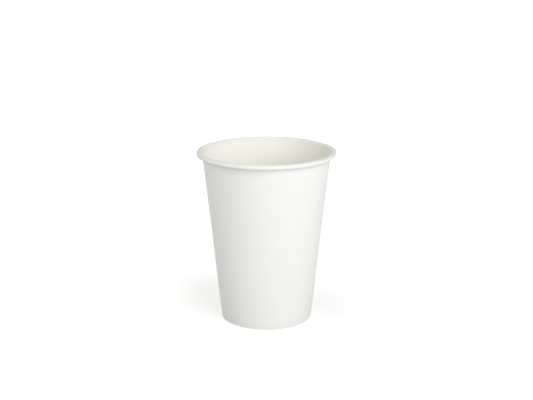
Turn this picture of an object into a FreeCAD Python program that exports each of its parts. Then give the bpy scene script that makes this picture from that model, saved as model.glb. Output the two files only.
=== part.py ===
import FreeCAD, Part
import math
import os
import Sketcher

# A paper vending cup, in millimetres and degrees, standing on the origin with +Z up.
#
# It is made of two pieces of coated paperboard, as the real one is:
#   cup_wall    one fan-shaped blank, wound into a cone and lapped over itself at the side
#               seam, with its top edge rolled outwards and its bottom edge folded inwards
#   cup_bottom  a disc with a turned-down skirt, whose edge the folded hem holds
#
# The blank's outer end climbs over its inner end in two gentle bends. Every stretch of it
# is the same section turned about an upright axis, and only the axis moves.

SIZES = [
    ("rim_diameter", 70.3, "outside of the rolled rim"),
    ("cup_height", 87.0, "foot to the crest of the rim"),
    ("base_diameter", 46.0, "outside of the wall, run down to the foot"),
    ("wall_angle", 6.17, "taper of the wall, from upright"),
    ("wall_sheet", 0.32, "thickness of the wall's board"),
    ("roll_height", 2.5, "height of the rolled rim"),
    ("roll_end_radius", 1.1, "inner and outer sides of the roll"),
    ("roll_tail_radius", 0.7, "last turn, tucked inside the roll"),
    ("roll_tail_gap", 0.06, "clearance of the tucked turn from the wall"),
    ("roll_tail_end", 60, "where the tucked turn stops, from level"),
    ("fold_radius", 0.25, "edges of the pressed foot fold"),
    ("hem_height", 6.0, "foot to the cut edge of the folded hem"),
    ("bottom_sheet", 0.28, "thickness of the bottom's board"),
    ("bottom_lift", 6.7, "foot to the underside of the disc"),
    ("bottom_bend", 0.6, "outside of the bend from disc to skirt"),
    ("skirt_lift", 0.1, "clearance under the skirt's cut edge"),
    ("glue_line", 0.02, "between the skirt and what holds it"),
    ("seam_angle", 54, "where the blank starts to climb, from +X"),
    ("ramp_angle", 15, "each of the two bends of the climb"),
    ("lap_angle", 14, "width of the lapped seam"),
    ("lap_rise", 0.28, "climb of the outer end, pressed into the inner one"),
]

START, END, CENTRE = 1, 2, 3  # the sketcher's names for the points of a curve
ORIGIN = (-1, START)
LEVEL_AXIS, CUP_AXIS = -1, -2

HALF_FOOT = "sizes.base_diameter / 2"

# Depths from the wall's outer face, measured level
WALL_DEPTH = "sizes.wall_sheet / cos(sizes.wall_angle)"
SKIRT_DEPTH = "(sizes.wall_sheet + sizes.glue_line) / cos(sizes.wall_angle)"
HEM_DEPTH = "(sizes.wall_sheet + sizes.bottom_sheet + 2 * sizes.glue_line) / cos(sizes.wall_angle)"


def add_sheet(document):
    """Put the driving sizes in a sheet, one to a row."""
    sheet = document.addObject("Spreadsheet::Sheet", "sizes")
    for row, (alias, value, note) in enumerate(SIZES, start=1):
        sheet.set(f"A{row}", note)
        sheet.set(f"B{row}", str(value))
        sheet.setAlias(f"B{row}", alias)
    document.recompute()
    return sheet


class Section:
    """A closed outline on an upright plane through the cup's axis.

    Its curves are added in order round the outline, close to where they belong. Constraints
    join them end to end, and every size is bound to the sheet.
    """

    def __init__(self, body, name, turn="0"):
        self.sketch = body.newObject("Sketcher::SketchObject", name)
        planes = body.Origin.OriginFeatures
        upright = next(plane for plane in planes if plane.Role == "XZ_Plane")
        self.sketch.AttachmentSupport = (upright, [""])
        self.sketch.MapMode = "FlatFace"
        about_cup_axis = FreeCAD.Rotation(FreeCAD.Vector(0, 1, 0), self.value(turn))
        self.sketch.AttachmentOffset = FreeCAD.Placement(FreeCAD.Vector(), about_cup_axis)
        self.sketch.setExpression("AttachmentOffset.Rotation.Angle", turn)
        self.curves = []  # (index, first point, last point, smooth into the next)

    def value(self, formula):
        return float(self.sketch.evalExpression(formula))

    def line(self, start, end, smooth=False):
        index = self.sketch.addGeometry(Part.LineSegment(point(start), point(end)))
        self.curves.append((index, START, END, smooth))
        return index

    def arc(self, centre, radius, start, end, smooth=True):
        """An arc from one angle to another, clockwise where the angle falls."""
        circle = Part.Circle(point(centre), FreeCAD.Vector(0, 0, 1), radius)
        low, high = math.radians(min(start, end)), math.radians(max(start, end))
        index = self.sketch.addGeometry(Part.ArcOfCircle(circle, low, high))
        ends = (START, END) if end > start else (END, START)
        self.curves.append((index, *ends, smooth))
        return index

    def close(self):
        """Join each curve to the next, tangent where it is smooth."""
        following = self.curves[1:] + self.curves[:1]
        for (index, _, last, smooth), (next_index, first, _, _) in zip(self.curves, following):
            self.pin("Tangent" if smooth else "Coincident", index, last, next_index, first)

    def pin(self, kind, *elements):
        return self.sketch.addConstraint(Sketcher.Constraint(kind, *elements))

    def size(self, name, kind, elements, formula):
        """A dimension with a name, bound to the sheet by a formula."""
        value = self.value(formula)
        if kind == "Angle":
            value = math.radians(value)
        index = self.pin(kind, *elements, value)
        self.sketch.renameConstraint(index, name)
        self.sketch.setExpression("Constraints." + name, formula)

    def place(self, name, element, along=None, up=None):
        """Distances of a point from the cup's axis and from the foot."""
        if along is not None:
            self.size(name + "_radius", "DistanceX", (*ORIGIN, *element), along)
        if up is not None:
            self.size(name + "_height", "DistanceY", (*ORIGIN, *element), up)

    def mark(self, position):
        """A point that guides the outline without being part of it."""
        return self.sketch.addGeometry(Part.Point(point(position)), True)

    def wall_face(self, line, foot, lift):
        """Lay a line on the wall's outer face, which runs down to a sharp corner at the foot."""
        corner = self.mark((foot, 0))
        self.pin("PointOnObject", corner, START, line)
        self.pin("PointOnObject", corner, START, LEVEL_AXIS)
        self.place("foot", (corner, START), along=f"{HALF_FOOT} + {lift}")
        self.size("wall_angle", "Angle", (line,), "90 - sizes.wall_angle")

    def axis(self, along):
        """An upright line to turn the outline about, away from the cup's own axis."""
        x, top = self.value(along), self.value("sizes.cup_height")
        index = self.sketch.addGeometry(Part.LineSegment(point((x, 0)), point((x, top))), True)
        self.pin("Vertical", index)
        self.pin("PointOnObject", index, START, LEVEL_AXIS)
        self.size("axis_length", "DistanceY", (index, START, index, END), "sizes.cup_height")
        self.size("axis_offset", "DistanceX", (*ORIGIN, index, START), along)


def point(position):
    return FreeCAD.Vector(position[0], position[1], 0)


def polar(centre, radius, angle):
    turn = math.radians(angle)
    return centre[0] + radius * math.cos(turn), centre[1] + radius * math.sin(turn)


def roll_arcs(sheet, lift):
    """The rolled rim's five arcs: centre, radius of the visible face, first and last angle.

    The sheet leaves the wall, turns over the inner side, the crest, the outer side and the
    underside of an oval, and tucks its last turn inside.
    """
    taper = math.radians(sheet.wall_angle)
    end, half_height = sheet.roll_end_radius, sheet.roll_height / 2
    middle = sheet.cup_height - half_height
    inner_x = (sheet.base_diameter / 2 + lift + middle * math.tan(taper)
               + (end - sheet.wall_sheet) / math.cos(taper))
    outer_x = sheet.rim_diameter / 2 + lift - end
    half_gap = (outer_x - inner_x) / 2
    crest = (half_gap ** 2 + half_height ** 2 - end ** 2) / (2 * (half_height - end))
    drop = crest - half_height
    lean = math.degrees(math.atan2(drop, half_gap))
    centre_x = inner_x + half_gap
    tail = sheet.roll_tail_radius
    tail_x = inner_x - end + sheet.wall_sheet + sheet.roll_tail_gap + tail
    tuck = -math.degrees(math.acos((tail_x - centre_x) / (crest - tail)))
    tail_centre = polar((centre_x, middle + drop), crest - tail, tuck)
    return [
        ((inner_x, middle), end, 180 - sheet.wall_angle, 180 - lean),
        ((centre_x, middle - drop), crest, 180 - lean, lean),
        ((outer_x, middle), end, lean, -lean),
        ((centre_x, middle + drop), crest, -lean, tuck),
        (tail_centre, tail, tuck, -180 - sheet.roll_tail_end),
    ]


def draw_blank(body, sheet, name, turn, lift, axis):
    """The wound board's section: tapered wall, rolled rim and the outer half of the foot fold.

    The lift moves it all outwards, for the end that lies on the other one.
    """
    section = Section(body, name, turn)
    rise = section.value(lift)
    taper, board, fold = math.radians(sheet.wall_angle), sheet.wall_sheet, sheet.fold_radius
    foot = sheet.base_diameter / 2 + rise
    inner_foot = (foot - board / math.cos(taper), 0)
    fold_centre = (foot - fold * (1 - math.sin(taper)) / math.cos(taper), fold)
    fold_end = polar(fold_centre, fold, -sheet.wall_angle)
    rolls = roll_arcs(sheet, rise)
    (inner_centre, inner_radius, leaving, _), *_, (tail_centre, tail_radius, _, tail_end) = rolls

    bottom = section.line(inner_foot, (fold_centre[0], 0), smooth=True)
    fold_arc = section.arc(fold_centre, fold, -90, -sheet.wall_angle)
    outside = section.line(fold_end, polar(inner_centre, inner_radius - board, leaving), smooth=True)
    hidden = [section.arc(centre, radius - board, start, end, smooth=radius != tail_radius)
              for centre, radius, start, end in rolls]
    cut = section.line(polar(tail_centre, tail_radius - board, tail_end),
                       polar(tail_centre, tail_radius, tail_end))
    shown = [section.arc(centre, radius, end, start) for centre, radius, start, end in rolls[::-1]]
    inside = section.line(polar(inner_centre, inner_radius, leaving), inner_foot)
    section.close()

    section.pin("PointOnObject", bottom, START, LEVEL_AXIS)
    section.pin("Horizontal", bottom)
    section.pin("Parallel", inside, outside)
    section.size("fold_radius", "Radius", (fold_arc,), "sizes.fold_radius")
    section.wall_face(outside, foot, lift)
    size_roll(section, sheet, hidden, shown[::-1], cut, lift)
    section.axis(axis)
    return section.sketch


def size_roll(section, sheet, hidden, shown, cut, lift):
    """Pin the oval roll, its tucked last turn and the board's thickness round it."""
    for hidden_arc, shown_arc in zip(hidden, shown):
        section.pin("Coincident", hidden_arc, CENTRE, shown_arc, CENTRE)
    inner, crest, outer, under, tail = shown
    section.pin("Horizontal", inner, CENTRE, outer, CENTRE)
    section.pin("Vertical", crest, CENTRE, under, CENTRE)
    section.pin("Equal", inner, outer)
    section.pin("Equal", crest, under)
    section.size("roll_end", "Radius", (inner,), "sizes.roll_end_radius")
    section.size("roll_tail", "Radius", (tail,), "sizes.roll_tail_radius")
    section.place("roll", (outer, CENTRE), up="sizes.cup_height - sizes.roll_height / 2",
                  along=f"sizes.rim_diameter / 2 - sizes.roll_end_radius + {lift}")
    top = section.mark((sheet.rim_diameter / 2, sheet.cup_height))
    section.pin("PointOnObject", top, START, crest)
    section.pin("Vertical", top, START, crest, CENTRE)
    section.place("crest", (top, START), up="sizes.cup_height")
    section.size("tail_inset", "DistanceX", (tail, CENTRE, inner, CENTRE),
                 "sizes.roll_end_radius - sizes.roll_tail_radius"
                 " - sizes.wall_sheet - sizes.roll_tail_gap")
    section.pin("PointOnObject", tail, CENTRE, cut)
    section.size("board", "Distance", (cut,), "sizes.wall_sheet")
    section.size("tail_end", "Angle", (cut,), "180 - sizes.roll_tail_end")


def draw_hem(body, sheet):
    """The whole foot fold: flat underneath, and turned up inside as a band behind the skirt."""
    section = Section(body, "hem_section")
    taper, board, fold = math.radians(sheet.wall_angle), sheet.wall_sheet, sheet.fold_radius
    foot = sheet.base_diameter / 2
    outer_foot = section.value(f"{HALF_FOOT} - {HEM_DEPTH}")
    inner_foot = outer_foot - board / math.cos(taper)
    facing_in, facing_out = 180 - sheet.wall_angle, -sheet.wall_angle
    inner_fold = (inner_foot + fold * (1 + math.sin(taper)) / math.cos(taper), fold)
    outer_fold = (foot - fold * (1 - math.sin(taper)) / math.cos(taper), fold)

    def on_face(foot_x, up):
        return foot_x + up * math.tan(taper), up

    floor = section.line(on_face(foot, board), on_face(outer_foot, board))
    outside = section.line(on_face(outer_foot, board), on_face(outer_foot, sheet.hem_height))
    cut = section.line(on_face(outer_foot, sheet.hem_height), on_face(inner_foot, sheet.hem_height))
    inside = section.line(on_face(inner_foot, sheet.hem_height), polar(inner_fold, fold, facing_in),
                          smooth=True)
    inner_arc = section.arc(inner_fold, fold, facing_in, 270)
    bottom = section.line((inner_fold[0], 0), (outer_fold[0], 0), smooth=True)
    outer_arc = section.arc(outer_fold, fold, -90, facing_out)
    flank = section.line(polar(outer_fold, fold, facing_out), on_face(foot, board))
    section.close()

    section.pin("Horizontal", floor)
    section.pin("Horizontal", cut)
    section.pin("Horizontal", bottom)
    section.pin("PointOnObject", bottom, START, LEVEL_AXIS)
    section.pin("Parallel", inside, flank)
    section.pin("Parallel", outside, flank)
    section.pin("Equal", inner_arc, outer_arc)
    section.wall_face(flank, foot, "0")
    section.size("fold_radius", "Radius", (outer_arc,), "sizes.fold_radius")
    section.place("floor", (floor, START), up="sizes.wall_sheet")
    section.place("hem", (cut, START), up="sizes.hem_height",
                  along=f"{HALF_FOOT} - {HEM_DEPTH} + sizes.hem_height * tan(sizes.wall_angle)")
    section.size("board", "DistanceX", (cut, END, cut, START), WALL_DEPTH)
    return section.sketch


def draw_bottom(body, sheet):
    """The disc and its turned-down skirt, which follows the taper of the wall."""
    section = Section(body, "bottom_section")
    taper = math.radians(sheet.wall_angle)
    board, bend = sheet.bottom_sheet, sheet.bottom_bend
    low = sheet.wall_sheet + sheet.skirt_lift
    under, top = sheet.bottom_lift, sheet.bottom_lift + board
    foot = section.value(f"{HALF_FOOT} - {SKIRT_DEPTH}")
    edge = foot + low * math.tan(taper)
    inner_edge = edge - board / math.cos(taper)
    centre_up = top - bend
    centre = (foot + centre_up * math.tan(taper) - bend / math.cos(taper), centre_up)
    facing_out = -sheet.wall_angle

    disc_top = section.line((0, top), (centre[0], top), smooth=True)
    outer_bend = section.arc(centre, bend, 90, facing_out)
    outside = section.line(polar(centre, bend, facing_out), (edge, low))
    cut = section.line((edge, low), (inner_edge, low))
    inside = section.line((inner_edge, low), polar(centre, bend - board, facing_out), smooth=True)
    inner_bend = section.arc(centre, bend - board, facing_out, 90)
    disc_under = section.line((centre[0], under), (0, under))
    middle = section.line((0, under), (0, top))
    section.close()

    section.pin("Horizontal", disc_top)
    section.pin("Horizontal", cut)
    section.pin("Horizontal", disc_under)
    section.pin("Vertical", middle)
    section.pin("Parallel", inside, outside)
    section.pin("Coincident", outer_bend, CENTRE, inner_bend, CENTRE)
    section.pin("PointOnObject", middle, START, CUP_AXIS)
    section.place("disc", (middle, START), up="sizes.bottom_lift")
    section.size("board", "DistanceY", (middle, START, middle, END), "sizes.bottom_sheet")
    section.size("bend", "Radius", (outer_bend,), "sizes.bottom_bend")
    section.size("wall_angle", "Angle", (outside,), "-90 - sizes.wall_angle")
    section.place("skirt", (cut, START), up="sizes.wall_sheet + sizes.skirt_lift",
                  along=f"{HALF_FOOT} - {SKIRT_DEPTH}"
                        " + (sizes.wall_sheet + sizes.skirt_lift) * tan(sizes.wall_angle)")
    return section.sketch


def turn_section(body, name, sketch, axis, angle, backwards=False):
    """Turn a section about one of its own upright lines, clockwise seen from above."""
    feature = body.newObject("PartDesign::Revolution", name)
    feature.Profile = sketch
    feature.ReferenceAxis = (sketch, [axis])
    feature.Reversed = not backwards
    feature.setExpression("Angle", angle)
    body.Tip = feature
    sketch.Document.recompute()
    return feature


def make_wall(document, sheet):
    """One blank, wound once round and lapped over its own inner end."""
    body = document.addObject("PartDesign::Body", "cup_wall")
    body.Label = "cup_wall"
    away = "sizes.lap_rise / (2 * (1 - cos(sizes.ramp_angle)))"
    flush = draw_blank(body, sheet, "blank_section", "sizes.seam_angle", "0", f"-{away}")
    lapped_turn = "sizes.seam_angle - 2 * sizes.ramp_angle"
    lapped = draw_blank(body, sheet, "lapped_section", lapped_turn, "sizes.lap_rise", away)
    hem = draw_hem(body, sheet)
    turn_section(body, "first_turn", flush, "V_Axis", "360 - 2 * sizes.ramp_angle", backwards=True)
    turn_section(body, "folded_hem", hem, "V_Axis", "360")
    turn_section(body, "climb", flush, "Axis0", "sizes.ramp_angle")
    turn_section(body, "level_off", lapped, "Axis0", "sizes.ramp_angle", backwards=True)
    turn_section(body, "lap", lapped, "V_Axis", "sizes.lap_angle")
    return body


def make_bottom(document, sheet):
    """The pressed disc, held by its skirt."""
    body = document.addObject("PartDesign::Body", "cup_bottom")
    body.Label = "cup_bottom"
    turn_section(body, "pressed_disc", draw_bottom(body, sheet), "V_Axis", "360")
    return body


def check(document, pieces):
    """Stop on any object that failed, and on any piece that isn't one sound solid."""
    for item in document.Objects:
        if "Invalid" in item.State or "Error" in item.State:
            raise RuntimeError(f"{item.Label} failed: {item.State}")
        if item.isDerivedFrom("Sketcher::SketchObject") and not item.FullyConstrained:
            raise RuntimeError(f"{item.Label} is not fully constrained")
    for piece in pieces:
        shape = piece.Shape
        if shape.isNull() or not shape.isValid() or len(shape.Solids) != 1:
            raise RuntimeError(f"{piece.Label} is not one sound solid")


def main():
    document = FreeCAD.newDocument("vending_cup")
    sheet = add_sheet(document)
    pieces = [make_wall(document, sheet), make_bottom(document, sheet)]
    document.recompute()
    check(document, pieces)
    os.makedirs("parts", exist_ok=True)
    for piece in pieces:
        piece.Shape.exportStep(f"parts/{piece.Label}.step")
        box = piece.Shape.optimalBoundingBox(False)
        print(f"{piece.Label}: {piece.Shape.Volume:.1f} mm3, "
              f"{box.XLength:.2f} x {box.YLength:.2f} x {box.ZLength:.2f} mm")


main()
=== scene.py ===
import functools
import math

import bpy
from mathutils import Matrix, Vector


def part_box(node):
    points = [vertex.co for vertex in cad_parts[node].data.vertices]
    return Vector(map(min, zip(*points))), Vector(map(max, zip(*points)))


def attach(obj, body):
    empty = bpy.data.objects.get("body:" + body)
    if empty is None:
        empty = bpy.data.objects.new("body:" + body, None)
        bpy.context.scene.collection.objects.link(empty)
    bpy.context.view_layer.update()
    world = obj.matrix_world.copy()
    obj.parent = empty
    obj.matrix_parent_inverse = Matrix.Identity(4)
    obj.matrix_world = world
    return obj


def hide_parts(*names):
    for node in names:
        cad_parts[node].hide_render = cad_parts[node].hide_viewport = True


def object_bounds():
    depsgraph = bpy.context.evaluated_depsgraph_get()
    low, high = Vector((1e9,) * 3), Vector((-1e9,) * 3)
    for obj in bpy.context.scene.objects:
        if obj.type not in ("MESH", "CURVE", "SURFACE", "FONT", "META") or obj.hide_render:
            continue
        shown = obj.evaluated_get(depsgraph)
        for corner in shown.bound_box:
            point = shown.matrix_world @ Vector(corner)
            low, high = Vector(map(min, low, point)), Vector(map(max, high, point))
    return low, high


# A paper vending cup: one fan-shaped blank of coated board, wound into a cone, and a pressed
# bottom held in its folded hem. Sections are drawn in millimetres, on the upright plane
# through the cup's axis, and the meshes are made in metres.

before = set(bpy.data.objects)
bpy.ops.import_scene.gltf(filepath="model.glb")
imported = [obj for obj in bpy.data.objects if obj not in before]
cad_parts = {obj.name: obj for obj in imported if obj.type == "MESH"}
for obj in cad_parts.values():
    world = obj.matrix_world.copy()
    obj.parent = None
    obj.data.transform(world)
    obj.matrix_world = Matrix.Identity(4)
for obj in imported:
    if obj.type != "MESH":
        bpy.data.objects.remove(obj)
cad_box = [list(corner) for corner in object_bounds()]

MM = 0.001
RIM_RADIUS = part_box("cup_wall")[1].x / MM
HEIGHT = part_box("cup_wall")[1].z / MM
FOOT_RADIUS = 23.0
TAPER = math.radians(6.17)
BOARD = 0.32

# Rolled rim: the visible face of the sheet, an oval of four arcs and a tucked last turn
ROLL_HEIGHT = 2.5
ROLL_END = 1.1
ROLL_TAIL = 0.7
TAIL_GAP = 0.06
TAIL_STOP = -240

# Folded hem, and the ribs pressed into it: their fade starts so far from the hem's two edges
HEM_HEIGHT = 6.0
FOLD_RADIUS = 0.25
INNER_FOLD_RADIUS = 0.03
RIB_PITCH = 6.0
RIB_DEPTH = 0.13
RIB_START, RIB_STOP, RIB_FADE = 0.4, 0.1, 0.7

# Bottom disc and its skirt
BOTTOM_BOARD = 0.28
BOTTOM_TOP = 6.98
BOTTOM_BEND = 0.6
SKIRT_EDGE = 0.42
GLUE_LINE = 0.02

# Lapped seam, in degrees from +X: the blank's inner end stops at LAP_START after a whole
# turn, and its outer end climbs over it between CLIMB_START and LAP_START
CLIMB_START, LAP_START, LAP_END = 54, 24, 10
LAP_GAP = 0.01
# Each layer of the lap is pressed thinner, and thinner still where the hem folds
LAP_BOARD = 0.27
LAP_FLOOR = 0.155
LAP_FOLD_OPENING = 0.1
# Degrees taken by the short ramps: the last share of the climb, over the inner end's edge,
# the hem's whole climb, the skirt's step back and the thinning of the floor under the lap
EDGE_SHARE, EDGE_RAMP = 0.18, 2.2
HEM_RAMP = 2.5
SKIRT_RAMP = 1.5
FLOOR_RAMP = 12

# The flat blank: its foot's radius, and where the roll starts on it
FAN_RADIUS = FOOT_RADIUS / math.sin(TAPER)
ROLL_RADIUS = FAN_RADIUS + (HEIGHT - ROLL_HEIGHT / 2) / math.cos(TAPER)

# How finely the meshes are divided: degrees between sections, steps and shares of a length
STATION = 0.75
HEM_STOPS = (0, 0.03, 0.08, 0.16, 0.35, 0.6, 0.8, 0.92, 1)
CORNER_STEPS = 4
WALL_STEPS = 16
ROLL_STEPS = (6, 8, 12, 6, 10)
BOTTOM_STATIONS = 480
DISC_STOPS = (0, 0.1, 0.25, 0.4, 0.55, 0.7, 0.82, 0.9, 0.95, 0.98)
BEND_STEPS = 8
SKIRT_STOPS = (0.1, 0.25, 0.5, 0.75, 1)
SHARP_EDGE = math.radians(40)

# Places on the map of the flat blanks, in mm: each face has its own
WALL_FACE_STEP = 400
BOTTOM_FACE_STEP = 60
BOTTOM_PLACE = 100


def polar(centre, radius, degrees):
    turn = math.radians(degrees)
    return centre[0] + radius * math.cos(turn), centre[1] + radius * math.sin(turn)


def between(start, end, share):
    return tuple(a + (b - a) * share for a, b in zip(start, end))


def two_bends(share):
    """A rise from 0 to 1 in two even bends, one each way."""
    share = min(max(share, 0), 1)
    return 2 * share ** 2 if share < 0.5 else 1 - 2 * (1 - share) ** 2


def arc_points(centre, radius, start, end, steps):
    return [polar(centre, radius, start + (end - start) * i / steps) for i in range(steps + 1)]


def lengths(points):
    """The distance along a line of points, at each of them."""
    reach = [0]
    for a, b in zip(points, points[1:]):
        reach.append(reach[-1] + math.dist(a, b))
    return reach


# ---------------------------------------------------------------- the blank's section

def roll_arcs(widen):
    """The rim's arcs: centre, radius of the visible face, first and last angle."""
    taper = math.degrees(TAPER)
    middle = HEIGHT - ROLL_HEIGHT / 2
    inner_x = FOOT_RADIUS + middle * math.tan(TAPER) + (ROLL_END - BOARD) / math.cos(TAPER)
    outer_x = RIM_RADIUS - ROLL_END + widen
    half_gap, half_height = (outer_x - inner_x) / 2, ROLL_HEIGHT / 2
    crest = (half_gap ** 2 + half_height ** 2 - ROLL_END ** 2) / (2 * (half_height - ROLL_END))
    drop = crest - half_height
    lean = math.degrees(math.atan2(drop, half_gap))
    centre_x = inner_x + half_gap
    tail_x = inner_x - ROLL_END + BOARD + TAIL_GAP + ROLL_TAIL + widen
    tuck = -math.degrees(math.acos((tail_x - centre_x) / (crest - ROLL_TAIL)))
    under = (centre_x, middle + drop)
    return [
        ((inner_x, middle), ROLL_END, 180 - taper, 180 - lean),
        ((centre_x, middle - drop), crest, 180 - lean, lean),
        ((outer_x, middle), ROLL_END, lean, -lean),
        (under, crest, -lean, tuck),
        (polar(under, crest - ROLL_TAIL, tuck), ROLL_TAIL, tuck, TAIL_STOP),
    ]


@functools.lru_cache(maxsize=None)
def sheet_face(depth, floor_depth, hem_depth, corner, widen):
    """One face of the board, from the hem's cut edge to the rolled tail's.

    Depths are measured from the coated face at rest, towards the printed side.
    """
    slope, lean = math.tan(TAPER), math.degrees(TAPER)
    hem_x = FOOT_RADIUS - (BOARD + BOTTOM_BOARD + 2 * GLUE_LINE + hem_depth) / math.cos(TAPER)
    wall_x = FOOT_RADIUS - (BOARD - depth) / math.cos(TAPER)
    rise = BOARD - floor_depth + corner
    hem_corner = (hem_x + rise * slope + corner / math.cos(TAPER), rise)
    wall_corner = (wall_x + rise * slope - corner / math.cos(TAPER), rise)
    hem_turn = arc_points(hem_corner, corner, 180 - lean, 270, CORNER_STEPS)
    wall_turn = arc_points(wall_corner, corner, -90, -lean, CORNER_STEPS)
    arcs = roll_arcs(widen)
    wall_top = polar(arcs[0][0], arcs[0][1] - depth, arcs[0][2])
    hem_top = (hem_x + HEM_HEIGHT * slope, HEM_HEIGHT)

    points = [between(hem_top, hem_turn[0], stop) for stop in HEM_STOPS[:-1]]
    points += hem_turn + wall_turn
    points += [between(wall_turn[-1], wall_top, i / WALL_STEPS) for i in range(1, WALL_STEPS)]
    for (centre, radius, start, end), steps in zip(arcs, ROLL_STEPS):
        points += arc_points(centre, radius - depth, start, end, steps)[:-1]
    return points + [polar(centre, radius - depth, end)]


def climb(angle):
    """How far the outer end has climbed, with the inner end's edge showing through."""
    gentle = two_bends((CLIMB_START - angle) / (CLIMB_START - LAP_START))
    sharp = two_bends((LAP_START + EDGE_RAMP - angle) / EDGE_RAMP)
    return (1 - EDGE_SHARE) * gentle + EDGE_SHARE * sharp


def widening(angle):
    """The roll is wider where it holds both ends of the blank."""
    before = two_bends((angle - 360) / LAP_END)
    after = two_bends((CLIMB_START - angle) / (CLIMB_START - LAP_START))
    return (LAP_BOARD + LAP_GAP) * max(before, after)


def rib(angle, height):
    """Depth of the pressed ribs inside the hem, fading out towards its two edges."""
    groove = (0.5 + 0.5 * math.cos(math.tau * angle / RIB_PITCH)) ** 2
    low = two_bends((height - RIB_START) / RIB_FADE)
    high = two_bends((HEM_HEIGHT - RIB_STOP - height) / RIB_FADE)
    return RIB_DEPTH * groove * low * high


def station_faces(angle):
    """The coated face and the printed face of the board at one angle of the winding."""
    up = climb(angle)
    hem_up = two_bends((LAP_START + HEM_RAMP - angle) / HEM_RAMP)
    pressed = two_bends((angle - (360 + LAP_END - FLOOR_RAMP)) / FLOOR_RAMP)
    depth, hem_depth = up * (BOARD + LAP_GAP), hem_up * (BOARD + LAP_GAP)
    floor_depth = hem_up * (BOARD - LAP_FLOOR)
    board = BOARD + up * (LAP_BOARD - BOARD)
    hem_board = BOARD + hem_up * (LAP_BOARD - BOARD)
    floor_board = BOARD - floor_depth - pressed * (LAP_FLOOR + LAP_GAP / 2)
    fold, widen = INNER_FOLD_RADIUS + LAP_FOLD_OPENING * hem_up, widening(angle)
    coated = sheet_face(depth, floor_depth, hem_depth, fold, widen)
    printed = sheet_face(depth + board, floor_depth + floor_board, hem_depth + hem_board,
                         FOLD_RADIUS, widen)
    if angle <= 360 + LAP_END:
        hem = [(x + rib(angle, z), z) for x, z in printed[:len(HEM_STOPS)]]
        printed = hem + printed[len(HEM_STOPS):]
    return coated, printed


def stations():
    """Angles along the blank, from its inner end to its outer end."""
    angles = [360 + LAP_START]
    for stop in (CLIMB_START, LAP_START, LAP_END):
        start, count = angles[-1], round((angles[-1] - stop) / STATION)
        angles += [start + (stop - start) * i / count for i in range(1, count)] + [stop]
    return angles


def bottom_faces(spread):
    """The disc's coated face and its underside, from the axis to the skirt's cut edge."""
    slope, lean = math.tan(TAPER), math.degrees(TAPER)
    skirt_x = FOOT_RADIUS - (BOARD + GLUE_LINE - spread) / math.cos(TAPER)
    rise = BOTTOM_TOP - BOTTOM_BEND
    centre = (skirt_x + rise * slope - BOTTOM_BEND / math.cos(TAPER), rise)
    sides = []
    for depth in (0, BOTTOM_BOARD):
        bend = arc_points(centre, BOTTOM_BEND - depth, 90, -lean, BEND_STEPS)
        edge = (skirt_x + SKIRT_EDGE * slope - depth / math.cos(TAPER), SKIRT_EDGE)
        disc = [between((0, BOTTOM_TOP - depth), bend[0], stop) for stop in DISC_STOPS]
        skirt = [between(bend[-1], edge, stop) for stop in SKIRT_STOPS]
        sides.append(disc + bend + skirt)
    return sides


# ---------------------------------------------------------------- meshes

COATED, PRINTED, CUT = 0, 1, 2


class Skin:
    """A closed skin over sections of the board, each with a coated and a printed line."""

    def __init__(self, count):
        self.count = count
        self.verts, self.blank = [], []
        self.faces, self.kinds = [], []

    def add_line(self, points, degrees, flat):
        """A line of the section at one angle, and its points' places on the flat blank."""
        turn = math.radians(degrees)
        self.verts += [(x * math.cos(turn), x * math.sin(turn), z) for x, z in points]
        self.blank += flat

    def add_face(self, kind, *corners):
        """A face from corners, each as a section, its coated (0) or printed (1) line, and a point."""
        self.faces.append([(2 * section + side) * self.count + i for section, side, i in corners])
        self.kinds.append(kind)

    def make(self, name, materials):
        """The smooth mesh in metres, with the flat blank as its UV map."""
        mesh = bpy.data.meshes.new(name)
        mesh.from_pydata([(x * MM, y * MM, z * MM) for x, y, z in self.verts], [], self.faces)
        for material in materials:
            mesh.materials.append(material)
        mesh.polygons.foreach_set("material_index", self.kinds)
        mesh.polygons.foreach_set("use_smooth", [True] * len(self.faces))
        layer = mesh.uv_layers.new(name="blank")
        places = [self.blank[corner] for face in self.faces for corner in face]
        layer.uv.foreach_set("vector", [part * MM for place in places for part in place])
        mesh.validate()
        mesh.set_sharp_from_angle(angle=SHARP_EDGE)
        piece = bpy.data.objects.new(name, mesh)
        bpy.context.scene.collection.objects.link(piece)
        return piece


def make_wall(materials):
    """The wound blank: two faces, two long cut edges and two cut ends."""
    middle_fold = (FOLD_RADIUS + INNER_FOLD_RADIUS) / 2
    reach = lengths(sheet_face(BOARD / 2, BOARD / 2, BOARD / 2, middle_fold, 0))
    foot = reach[len(HEM_STOPS) + 2 * CORNER_STEPS]
    angles = stations()
    skin = Skin(len(reach))
    for angle in angles:
        spread = angle * math.sin(TAPER)
        for side, face in enumerate(station_faces(angle)):
            place = (WALL_FACE_STEP * side, 0)
            flat = [polar(place, FAN_RADIUS + along - foot, spread) for along in reach]
            skin.add_line(face, angle, flat)

    end, last = len(reach) - 1, len(angles) - 1
    for s in range(last):
        for i in range(end):
            skin.add_face(COATED, (s, 0, i), (s + 1, 0, i), (s + 1, 0, i + 1), (s, 0, i + 1))
            skin.add_face(PRINTED, (s, 1, i), (s, 1, i + 1), (s + 1, 1, i + 1), (s + 1, 1, i))
        skin.add_face(CUT, (s, 0, 0), (s, 1, 0), (s + 1, 1, 0), (s + 1, 0, 0))
        skin.add_face(CUT, (s, 0, end), (s + 1, 0, end), (s + 1, 1, end), (s, 1, end))
    for i in range(end):
        skin.add_face(CUT, (0, 0, i), (0, 0, i + 1), (0, 1, i + 1), (0, 1, i))
        skin.add_face(CUT, (last, 0, i), (last, 1, i), (last, 1, i + 1), (last, 0, i + 1))
    return skin.make("wound_wall", materials)


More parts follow.
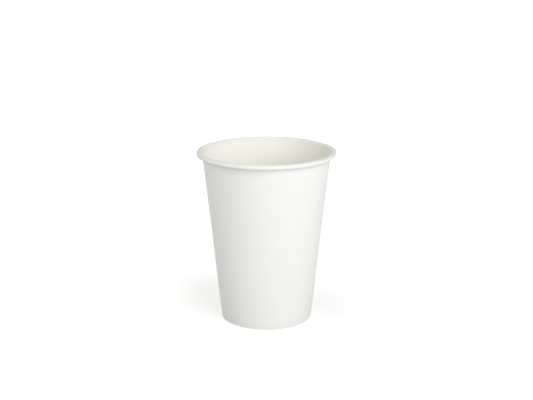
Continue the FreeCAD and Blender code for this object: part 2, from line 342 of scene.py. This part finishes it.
def make_bottom(materials):
    """The pressed bottom, whose skirt follows the coated face of the wound wall."""
    reach = lengths(bottom_faces(0)[0])[1:]
    skin = Skin(len(reach))
    for station in range(BOTTOM_STATIONS):
        angle = 360 * station / BOTTOM_STATIONS
        at_seam = climb(angle) * two_bends((angle - LAP_START) / SKIRT_RAMP)
        for side, face in enumerate(bottom_faces(at_seam * (BOARD + LAP_GAP))):
            place = (BOTTOM_FACE_STEP * side, BOTTOM_PLACE)
            skin.add_line(face[1:], angle, [polar(place, along, angle) for along in reach])
    for side, depth in enumerate((0, BOTTOM_BOARD)):
        skin.add_line([(0, BOTTOM_TOP - depth)], 0, [(BOTTOM_FACE_STEP * side, BOTTOM_PLACE)])

    end = len(reach) - 1
    for s in range(BOTTOM_STATIONS):
        after = (s + 1) % BOTTOM_STATIONS
        skin.add_face(COATED, (BOTTOM_STATIONS, 0, 0), (s, 0, 0), (after, 0, 0))
        skin.add_face(PRINTED, (BOTTOM_STATIONS, 0, 1), (after, 1, 0), (s, 1, 0))
        for i in range(end):
            skin.add_face(COATED, (s, 0, i), (s, 0, i + 1), (after, 0, i + 1), (after, 0, i))
            skin.add_face(PRINTED, (s, 1, i), (after, 1, i), (after, 1, i + 1), (s, 1, i + 1))
        skin.add_face(CUT, (s, 0, end), (s, 1, end), (after, 1, end), (after, 0, end))
    return skin.make("pressed_bottom", materials)


# ---------------------------------------------------------------- materials

# Patterns on the flat blank: features to a metre across and along it, detail and roughness
CLOUDS = ((260, 180), 3, 0.6)
FIBRES = ((5200, 1500), 4, 0.62)
FELT = ((900, 700), 3, 0.55)
NOISE_LOW, NOISE_HIGH = 0.3, 0.7

# The colour sockets of a Mix node
COLOUR_A, COLOUR_B, COLOUR_RESULT = 6, 7, 2

# The coated face turns less creamy and darker from before the roll's start to past it, in mm: the
# darkening is painted shade on the rim's top and ends
ROLL_SHADE_BEFORE, ROLL_SHADE_AFTER = 2.5, 0.5
ROLL_TONE_AND_SHADE = (0.922, 0.921, 0.904)


class Nodes:
    """A material's node tree, with short calls for what the papers share."""

    def __init__(self, name):
        self.material = bpy.data.materials.new(name)
        self.material.use_nodes = True
        self.tree = self.material.node_tree
        self.shader = self.tree.nodes["Principled BSDF"]
        self.blank = self.add("ShaderNodeUVMap", uv_map="blank").outputs["UV"]

    def add(self, kind, **settings):
        node = self.tree.nodes.new(kind)
        for key, value in settings.items():
            setattr(node, key, value)
        return node

    def link(self, source, target):
        self.tree.links.new(source, target)

    def noise(self, per_metre, detail, roughness):
        """Noise on the flat blank, around a half."""
        mapping = self.add("ShaderNodeMapping")
        mapping.inputs["Scale"].default_value = (*per_metre, 1)
        self.link(self.blank, mapping.inputs["Vector"])
        noise = self.add("ShaderNodeTexNoise")
        noise.inputs["Scale"].default_value = 1
        noise.inputs["Detail"].default_value = detail
        noise.inputs["Roughness"].default_value = roughness
        self.link(mapping.outputs["Vector"], noise.inputs["Vector"])
        return noise.outputs["Fac"]

    def spread(self, noise, low, high):
        """Noise widened and laid between two numbers."""
        node = self.add("ShaderNodeMapRange")
        node.inputs["From Min"].default_value = NOISE_LOW
        node.inputs["From Max"].default_value = NOISE_HIGH
        node.inputs["To Min"].default_value = low
        node.inputs["To Max"].default_value = high
        self.link(noise, node.inputs["Value"])
        return node.outputs["Result"]

    def blend(self, share, first, second):
        """A colour between two, the first of which may be another node's."""
        node = self.add("ShaderNodeMix", data_type="RGBA")
        if isinstance(first, tuple):
            node.inputs[COLOUR_A].default_value = (*first, 1)
        else:
            self.link(first, node.inputs[COLOUR_A])
        node.inputs[COLOUR_B].default_value = (*second, 1)
        self.link(share, node.inputs["Factor"])
        return node.outputs[COLOUR_RESULT]

    def bump(self, height, depth_mm, under=None):
        node = self.add("ShaderNodeBump")
        node.inputs["Distance"].default_value = depth_mm * MM
        self.link(height, node.inputs["Height"])
        if under is not None:
            self.link(under, node.inputs["Normal"])
        return node.outputs["Normal"]


def paper(name, light, dark, roughness, fibre_mm, felt_mm, specular):
    """Board with cloudy formation, fibres along its grain and a felted surface."""
    nodes = Nodes(name)
    clouds = nodes.spread(nodes.noise(*CLOUDS), 0, 1)
    fibres = nodes.noise(*FIBRES)
    felt = nodes.noise(*FELT)
    nodes.link(nodes.blend(clouds, dark, light), nodes.shader.inputs["Base Color"])
    nodes.link(nodes.spread(felt, *roughness), nodes.shader.inputs["Roughness"])
    nodes.shader.inputs["Specular IOR Level"].default_value = specular
    normal = nodes.bump(felt, felt_mm)
    nodes.link(nodes.bump(fibres, fibre_mm, normal), nodes.shader.inputs["Normal"])
    return nodes


def printed_face():
    """Uncoated outside of the board: bright, matt and cool white."""
    nodes = paper("matt_board", light=(0.935, 0.938, 0.92), dark=(0.925, 0.928, 0.908),
                  roughness=(0.6, 0.72), fibre_mm=0.018, felt_mm=0.015, specular=0.3)
    return nodes.material


def coated_face():
    """Inside of the board under its thin clear film: satin and creamy; on the roll a less creamy colour,
    darkened as painted shade.
    """
    nodes = paper("coated_board", light=(0.985, 0.972, 0.92), dark=(0.976, 0.963, 0.907),
                  roughness=(0.5, 0.6), fibre_mm=0.005, felt_mm=0.012, specular=0.15)
    colour = nodes.shader.inputs["Base Color"]
    reach = nodes.add("ShaderNodeVectorMath", operation="LENGTH")
    nodes.link(nodes.blank, reach.inputs[0])
    roll_shade_share = smooth_ramp(nodes.tree, reach.outputs["Value"],
                         ((ROLL_RADIUS - ROLL_SHADE_BEFORE) * MM, (ROLL_RADIUS + ROLL_SHADE_AFTER) * MM), (0, 1))
    creamy = colour.links[0].from_socket
    # Painted shade: the roll takes a darker, less creamy colour, which dims its lit top, its ends and
    # the bead's highlight
    nodes.link(nodes.blend(roll_shade_share, creamy, ROLL_TONE_AND_SHADE), colour)
    return nodes.material


def cut_face():
    """Sheared edge of the board, rough with cut fibres."""
    nodes = paper("cut_board", light=(0.92, 0.91, 0.88), dark=(0.86, 0.845, 0.80),
                  roughness=(0.8, 0.95), fibre_mm=0.03, felt_mm=0.02, specular=0.2)
    return nodes.material


def smooth_ramp(tree, value, reach, levels):
    """A value laid smoothly from one range onto another."""
    ramp = tree.nodes.new("ShaderNodeMapRange")
    ramp.interpolation_type = "SMOOTHSTEP"
    for name, number in zip(("From Min", "From Max", "To Min", "To Max"), (*reach, *levels)):
        ramp.inputs[name].default_value = number
    tree.links.new(value, ramp.inputs["Value"])
    return ramp.outputs["Result"]


# ---------------------------------------------------------------- floor, light and camera

# The floor's half width and its drop under the cup, in metres
FLOOR_HALF = 4.0
FLOOR_DROP = 0.01 * MM
# Outwards from the cup's axis, in metres: the floor's colour, darker round the cup as painted shade, and
# its glow as a background
SHADE_REACH, SHADE_LEVELS = (0.03, 0.09), (0.57, 0.745)
GLOW_REACH, GLOW_LEVELS = (0.03, 0.22), (0.58, 1.0)
FILL_LEVEL = 0.34
FILL_COLOUR = (1.0, 1.0, 0.97)

LAMP_DISTANCE = 1.3
LAMPS = {
    # name: (degrees to the right of the camera, degrees up, side in m, level, colour)
    "key": (36, 28, 0.9, 0.53, (1.0, 1.0, 1.0)),
    "front": (20, 10, 0.9, 0.18, (1.0, 1.0, 1.0)),
    "left": (-75, 35, 0.9, 0.25, (0.975, 1.0, 0.945)),
    "low_left": (-40, 12, 0.9, 0.02, (0.985, 1.0, 0.955)),
    "rear_right": (150, 14, 0.5, 0.02, (1.0, 1.0, 0.97)),
}

# The camera stands in front (-Y), this far from the cup's middle and this high round it
CAMERA_DISTANCE = 7.771 * 2 * RIM_RADIUS * MM
CAMERA_UP = math.radians(16.86)
CAMERA_TILT = math.radians(-15.08)
CAMERA_LENS = 72.27
CAMERA_SENSOR = 36
CUP_MIDDLE = Vector((0, 0, HEIGHT * MM / 2))


def seen_ray(tree):
    """1 for rays that show the background itself: camera, mirror and clear ones."""
    path = tree.nodes.new("ShaderNodeLightPath")
    total = path.outputs["Is Camera Ray"]
    for name in ("Is Glossy Ray", "Is Transmission Ray"):
        either = tree.nodes.new("ShaderNodeMath")
        either.operation = "MAXIMUM"
        tree.links.new(total, either.inputs[0])
        tree.links.new(path.outputs[name], either.inputs[1])
        total = either.outputs[0]
    return total


def floor_material():
    """Pale and matt, and plain white to the camera away from the cup's shadow."""
    material = bpy.data.materials.new("floor")
    material.use_nodes = True
    tree = material.node_tree
    shader = tree.nodes["Principled BSDF"]
    shader.inputs["Roughness"].default_value = 0.9
    shader.inputs["Specular IOR Level"].default_value = 0.0
    shader.inputs["Emission Color"].default_value = (1, 1, 1, 1)
    place = tree.nodes.new("ShaderNodeTexCoord")
    reach = tree.nodes.new("ShaderNodeVectorMath")
    reach.operation = "LENGTH"
    tree.links.new(place.outputs["Object"], reach.inputs[0])
    distance = reach.outputs["Value"]
    # Painted shade: the floor's colour is darker round the cup, which also throws less light back onto
    # the cup's foot
    painted_shade = smooth_ramp(tree, distance, SHADE_REACH, SHADE_LEVELS)
    tree.links.new(painted_shade, shader.inputs["Base Color"])
    glow = tree.nodes.new("ShaderNodeMath")
    glow.operation = "MULTIPLY"
    tree.links.new(seen_ray(tree), glow.inputs[0])
    tree.links.new(smooth_ramp(tree, distance, GLOW_REACH, GLOW_LEVELS), glow.inputs[1])
    tree.links.new(glow.outputs[0], shader.inputs["Emission Strength"])
    return material


def make_floor():
    half, level = FLOOR_HALF, cad_box[0][2] - FLOOR_DROP
    mesh = bpy.data.meshes.new("floor")
    corners = [(-half, -half, level), (half, -half, level), (half, half, level), (-half, half, level)]
    mesh.from_pydata(corners, [], [(0, 1, 2, 3)])
    mesh.materials.append(floor_material())
    floor = bpy.data.objects.new("floor", mesh)
    bpy.context.scene.collection.objects.link(floor)


def make_world():
    """An even white studio, seen as plain white."""
    world = bpy.data.worlds.new("studio")
    world.use_nodes = True
    bpy.context.scene.world = world
    tree = world.node_tree
    light = tree.nodes.new("ShaderNodeMix")
    light.data_type = "RGBA"
    light.inputs[COLOUR_A].default_value = (*(FILL_LEVEL * part for part in FILL_COLOUR), 1)
    light.inputs[COLOUR_B].default_value = (1, 1, 1, 1)
    tree.links.new(seen_ray(tree), light.inputs["Factor"])
    tree.links.new(light.outputs[COLOUR_RESULT], tree.nodes["Background"].inputs["Color"])


def make_lamp(name, right, up, side, level, colour):
    """A square softbox that lights a white card facing it to the level given."""
    lamp = bpy.data.lights.new(name, "AREA")
    lamp.shape = "SQUARE"
    lamp.size = side
    lamp.energy = level * (math.pi * LAMP_DISTANCE) ** 2
    lamp.color = colour
    holder = bpy.data.objects.new(name, lamp)
    a, e = math.radians(right), math.radians(up)
    towards = Vector((math.sin(a) * math.cos(e), -math.cos(a) * math.cos(e), math.sin(e)))
    holder.location = CUP_MIDDLE + towards * LAMP_DISTANCE
    holder.rotation_mode = "QUATERNION"
    holder.rotation_quaternion = (-towards).to_track_quat("-Z", "Y")
    bpy.context.scene.collection.objects.link(holder)


def make_camera():
    data = bpy.data.cameras.new("camera")
    data.sensor_width = CAMERA_SENSOR
    data.lens = CAMERA_LENS
    camera = bpy.data.objects.new("camera", data)
    towards = Vector((0, -math.cos(CAMERA_UP), math.sin(CAMERA_UP)))
    camera.location = CUP_MIDDLE + CAMERA_DISTANCE * towards
    camera.rotation_euler = (math.pi / 2 + CAMERA_TILT, 0, 0)
    bpy.context.scene.collection.objects.link(camera)
    bpy.context.scene.camera = camera


def main():
    materials = [coated_face(), printed_face(), cut_face()]
    wall = make_wall(materials)
    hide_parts("cup_wall")
    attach(wall, "root")
    bottom = make_bottom(materials)
    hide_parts("cup_bottom")
    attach(bottom, "root")
    make_floor()
    make_world()
    for name, settings in LAMPS.items():
        make_lamp(name, *settings)
    make_camera()
    bpy.context.scene.view_settings.view_transform = "Standard"


main()
